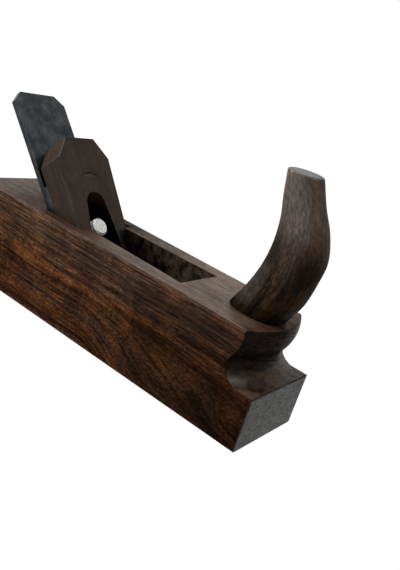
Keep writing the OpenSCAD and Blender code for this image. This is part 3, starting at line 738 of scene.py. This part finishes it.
# The thumbnail: a painted shadow line along the gouge's stop cut, with a slightly paler floor inside it
from_nail = vector_maths(tree, "SUBTRACT", wedge_wood.place, NAIL_MIDDLE)
up_face = vector_maths(tree, "DOT_PRODUCT", from_nail, UP_THE_FACE)
from_nail = vector_maths(tree, "LENGTH", from_nail)
nail = times(tree, between(tree, up_face, *NAIL_UP_FACE), between(tree, outward, 0.7, 0.9))
nail_shadow_line = times(tree, nail, within(tree, from_nail, NAIL_RADIUS - NAIL_HALF_LINE,
                                     NAIL_RADIUS + NAIL_HALF_LINE, NAIL_SOFT))
nail_floor = between(tree, from_nail, NAIL_RADIUS - NAIL_SOFT, NAIL_RADIUS - 2 * NAIL_SOFT)
nail_floor = times(tree, nail, nail_floor)
colour = lit(tree, figure["Colour"], where(tree, nail_floor, 1.0, 1.3))
colour = blend_colour(tree, times(tree, nail_shadow_line, 0.85), colour, PAINTED_SHADE_BLACK)
colour = blend_colour(tree, slot_wall, colour, blend_colour(tree, slot_unshaded, PAINTED_SHADE_BLACK, SLOT_RED))
polish = times(tree, between(tree, handling, 0.3, 0.7, 0.25, 0.17), where(tree, slot_wall, 1.0, 0.1),
               where(tree, nail_shadow_line, 1.0, 0.3))
rub(wedge_wood, colour, polish, WEDGE_EDGE_WEAR)
wedge = ease_edges(dress("wedge", wedge_wood.material), WEDGE_EASE)


# Plane iron and cap iron: a thick forged cutter with a clipped top, and the cap iron
# that stiffens its edge, both ground flat and gone dark with oil. The wedge
# holds the pair down on the bed.
IRON_EASE, IRON_ROUGH, IRON_GRAIN = 0.0002, 0.36, (500, 5000, 500)
IRON_DARK, IRON_BARE = (0.016, 0.019, 0.022, 1), (0.20, 0.21, 0.21, 1)


def ground_steel(name, dark, bare, rough, grain, knurl=None):
    """Steel with grinding marks across it, darkened in patches, and bare at its edges.

    knurl is a mask to be made from the tree and the place, its colour, and how much rougher it is.
    """
    made, tree, shader = new_material(name)
    own_place = put(tree, "TexCoord").outputs["Object"]
    grinding = marks(tree, own_place, grain, 3)
    stains = noise(tree, own_place, scale=90, detail=4, roughness=0.6)
    tone = blend_colour(tree, between(tree, stains, 0.35, 0.75, 0.0, 0.22), dark, bare)
    tone = lit(tree, tone, between(tree, grinding, 0.3, 0.7, 0.82, 1.15))
    worn = place_group(tree, EDGES, Place=own_place, Width=0.0006)["Worn"]
    tone = blend_colour(tree, times(tree, worn, 0.6), tone, bare)
    dull = plus(tree, between(tree, grinding, 0.3, 0.7, rough - 0.05, rough + 0.05),
                between(tree, stains, 0.35, 0.75, 0.05, -0.03))
    if knurl:
        mask_of, knurl_colour, rougher = knurl
        knurled = mask_of(tree, own_place)
        tone = blend_colour(tree, knurled, tone, knurl_colour)
        dull = plus(tree, dull, times(tree, knurled, rougher))
    tree.links.new(tone, shader.inputs["Base Color"])
    tree.links.new(dull, shader.inputs["Roughness"])
    shader.inputs["Metallic"].default_value = 1.0
    bump = put(tree, "Bump", {"Strength": 0.35, "Distance": 0.00004, "Height": grinding})
    tree.links.new(bump.outputs[0], shader.inputs["Normal"])
    return made


iron_steel = ground_steel("dark ground steel", IRON_DARK, IRON_BARE, IRON_ROUGH, IRON_GRAIN)
for piece_name in ("plane_iron", "cap_iron"):
    ease_edges(dress(piece_name, iron_steel), IRON_EASE)


# Cap screw: turned from bright steel, with a straight knurl round its tall head for
# the fingers and a thread on its shank. It goes through the cap iron's hole and
# the plane iron's slot into the nut behind them.
UP_THE_BED = Vector((-1, 0, 1)).normalized()
SCREW_OUT = Vector((1, 0, 1)).normalized()
BED_FOOT_X, SCREW_UP_THE_BED = 0.0104, 0.076
SCREW_MIDDLE = Vector((BED_FOOT_X, 0, 0)) + UP_THE_BED * SCREW_UP_THE_BED
SCREW_SIDES, ROWS_A_PITCH = 72, 8
# The thread fades in over its lead at the tail, and its flanks are so steep with so wide a root
SHANK_RADIUS, THREAD_ROOT, THREAD_PITCH, FLANK_SLOPE, FLANK_ROOT = 0.0040, 0.0034, 0.00125, 1.5, 0.25
THREAD_LEAD, LEAD_DROP = 0.0008, 0.0003
TAIL_END, SHANK_START, HEAD_START, HEAD_END = -0.0100, -0.0034, 0.00304, 0.0160
HEAD_RADIUS, KNURL_DEPTH, RIM_RADIUS, RIM_CHAMFER = 0.0059, 0.00022, 0.0050, 0.0009
KNURL_PALE, KNURL_ROUGHER = (0.80, 0.81, 0.78, 1), 0.42
BRIGHT_STEEL, BRIGHT_EDGES = (0.46, 0.47, 0.44, 1), (0.62, 0.63, 0.60, 1)
BRIGHT_ROUGH, BRIGHT_GRAIN = 0.28, (900, 900, 900)


def thread_radius(out, side):
    turn = (out / THREAD_PITCH - side / SCREW_SIDES) % 1.0
    flank = min(1.0, max(0.0, FLANK_SLOPE * (1 - abs(2 * turn - 1)) - FLANK_ROOT))
    lead = min(1.0, (out - TAIL_END) / THREAD_LEAD)
    return THREAD_ROOT + (SHANK_RADIUS - THREAD_ROOT) * flank * lead - LEAD_DROP * (1 - lead)


def knurl_radius(out, side):
    return HEAD_RADIUS - (KNURL_DEPTH if side % 2 else 0.0)


def screw_ring(out, radius):
    ring = []
    for side in range(SCREW_SIDES):
        turn = math.tau * side / SCREW_SIDES
        spoke = UP_THE_BED * math.cos(turn) + Vector((0, 1, 0)) * math.sin(turn)
        reach = radius(out, side) if callable(radius) else radius
        ring.append(SCREW_MIDDLE + SCREW_OUT * out + spoke * reach)
    return ring


def knurl_mask(tree, own_place):
    """The band round the head, by its distance from the screw's axis."""
    from_screw = vector_maths(tree, "SUBTRACT", own_place, SCREW_MIDDLE)
    from_axis = vector_maths(tree, "LENGTH", vector_maths(tree, "CROSS_PRODUCT", from_screw, SCREW_OUT))
    return between(tree, from_axis, HEAD_RADIUS - 0.0006, HEAD_RADIUS - 0.0003)


thread_rows = round((SHANK_START - TAIL_END) / THREAD_PITCH * ROWS_A_PITCH)
screw_rings = [screw_ring(TAIL_END + (SHANK_START - TAIL_END) * row / thread_rows, thread_radius)
               for row in range(thread_rows)]
# Up the head: a neck, the knurl between two grooves, and a chamfered rim round a dished face
for out, radius in ((SHANK_START, SHANK_RADIUS), (HEAD_START, SHANK_RADIUS),
                    (HEAD_START, HEAD_RADIUS - 0.0004), (HEAD_START + 0.0003, HEAD_RADIUS - 0.0001),
                    (HEAD_START + 0.0009, HEAD_RADIUS - 0.0001),
                    (HEAD_START + 0.0010, HEAD_RADIUS - KNURL_DEPTH), (HEAD_START + 0.0012, knurl_radius),
                    (HEAD_END - 0.0022, knurl_radius), (HEAD_END - 0.0020, HEAD_RADIUS - KNURL_DEPTH),
                    (HEAD_END - 0.0019, HEAD_RADIUS - 0.00005),
                    (HEAD_END - RIM_CHAMFER - 0.0001, HEAD_RADIUS),
                    (HEAD_END - RIM_CHAMFER + 0.0001, HEAD_RADIUS - 0.0001),
                    (HEAD_END - 0.0001, RIM_RADIUS + 0.0001), (HEAD_END, RIM_RADIUS),
                    (HEAD_END, RIM_RADIUS - 0.0004), (HEAD_END - 0.00012, 0.0006)):
    screw_rings.append(screw_ring(out, radius))
screw = piece_from_rings("knurled_cap_screw", screw_rings)
smooth_between_edges(screw, 32)
screw.data.materials.append(ground_steel("bright turned steel", BRIGHT_STEEL, BRIGHT_EDGES, BRIGHT_ROUGH,
                                         BRIGHT_GRAIN, knurl=(knurl_mask, KNURL_PALE, KNURL_ROUGHER)))
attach(screw, "screw")
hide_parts("cap_screw")


# Nut: a square of mild steel that runs in the bed's groove, so that the screw can be
# tightened from the front without holding it.
NUT_EASE, NUT_ROUGH, NUT_GRAIN = 0.0004, 0.40, (600, 2500, 600)
NUT_STEEL, NUT_EDGES = (0.16, 0.16, 0.155, 1), (0.45, 0.45, 0.43, 1)
nut_steel = ground_steel("nut steel", NUT_STEEL, NUT_EDGES, NUT_ROUGH, NUT_GRAIN)
ease_edges(dress("cap_nut", nut_steel), NUT_EASE)


# Studio: a plain pale floor that keeps the plane's shadow, three soft lamps, and a
# white surround that only the camera and the polish see.
LIT_POINT = (0.05, 0, 0.05)
# Each lamp: its place, how wide and high it is, and its watts
LAMPS = {"overhead softbox": ((-0.25, 0.25, 1.25), 1.0, 5),
         "heel softbox": ((-1.17, -0.62, 0.75), 0.55, 25),
         "toe softbox": ((0.75, 0.2, 0.95), 0.4, 4)}
ROOM_TINT, ROOM_STRENGTH = (0.95, 0.97, 1.0, 1), 0.15
FLOOR_HALF, FLOOR_SQUARES, FLOOR_GREY = 6.0, 8, (0.25, 0.25, 0.25, 1)
FLOOR_GLOW, FLOOR_GLOW_SHARE = 1.165, 0.85

for lamp_name, (lamp_place, lamp_size, watts) in LAMPS.items():
    light = bpy.data.lights.new(lamp_name, "AREA")
    light.shape, light.size, light.size_y, light.energy = "RECTANGLE", lamp_size, lamp_size, watts
    lamp = bpy.data.objects.new(lamp_name, light)
    lamp.location = lamp_place
    lamp.rotation_mode = "QUATERNION"
    lamp.rotation_quaternion = (Vector(lamp_place) - Vector(LIT_POINT)).to_track_quat("Z", "Y")
    bpy.context.scene.collection.objects.link(lamp)


def seen_directly(tree):
    """1 for the camera, a polished surface or clear glass, and 0 for light on its way."""
    rays = put(tree, "LightPath").outputs
    return larger(tree, larger(tree, rays["Is Camera Ray"], rays["Is Glossy Ray"]),
                  rays["Is Transmission Ray"])


world = bpy.data.worlds.new("studio")
world.use_nodes = True
bpy.context.scene.world = world
sky = world.node_tree
sky.nodes.clear()
room = put(sky, "Background", {"Color": ROOM_TINT, "Strength": ROOM_STRENGTH}).outputs[0]
white = put(sky, "Background", {"Color": (1, 1, 1, 1), "Strength": 1.0}).outputs[0]
surround = put(sky, "MixShader", {0: seen_directly(sky), 1: room, 2: white}).outputs[0]
put(sky, "OutputWorld", {"Surface": surround})

floor_mesh = bmesh.new()
bmesh.ops.create_grid(floor_mesh, x_segments=FLOOR_SQUARES, y_segments=FLOOR_SQUARES, size=FLOOR_HALF)
floor_data = bpy.data.meshes.new("floor")
floor_mesh.to_mesh(floor_data)
floor_mesh.free()
floor = bpy.data.objects.new("floor", floor_data)
bpy.context.scene.collection.objects.link(floor)
floor_paint = bpy.data.materials.new("pale floor")
floor_paint.use_nodes = True
paint = floor_paint.node_tree
paint.nodes.clear()
matt = put(paint, "BsdfDiffuse", {"Color": FLOOR_GREY}).outputs[0]
glow = put(paint, "Emission", {"Color": (1, 1, 1, 1), "Strength": FLOOR_GLOW}).outputs[0]
glow_share = times(paint, seen_directly(paint), FLOOR_GLOW_SHARE)
floor_surface = put(paint, "MixShader", {0: glow_share, 1: matt, 2: glow}).outputs[0]
put(paint, "OutputMaterial", {"Surface": floor_surface})
floor_data.materials.append(floor_paint)

bpy.context.scene.view_settings.view_transform = "Standard"
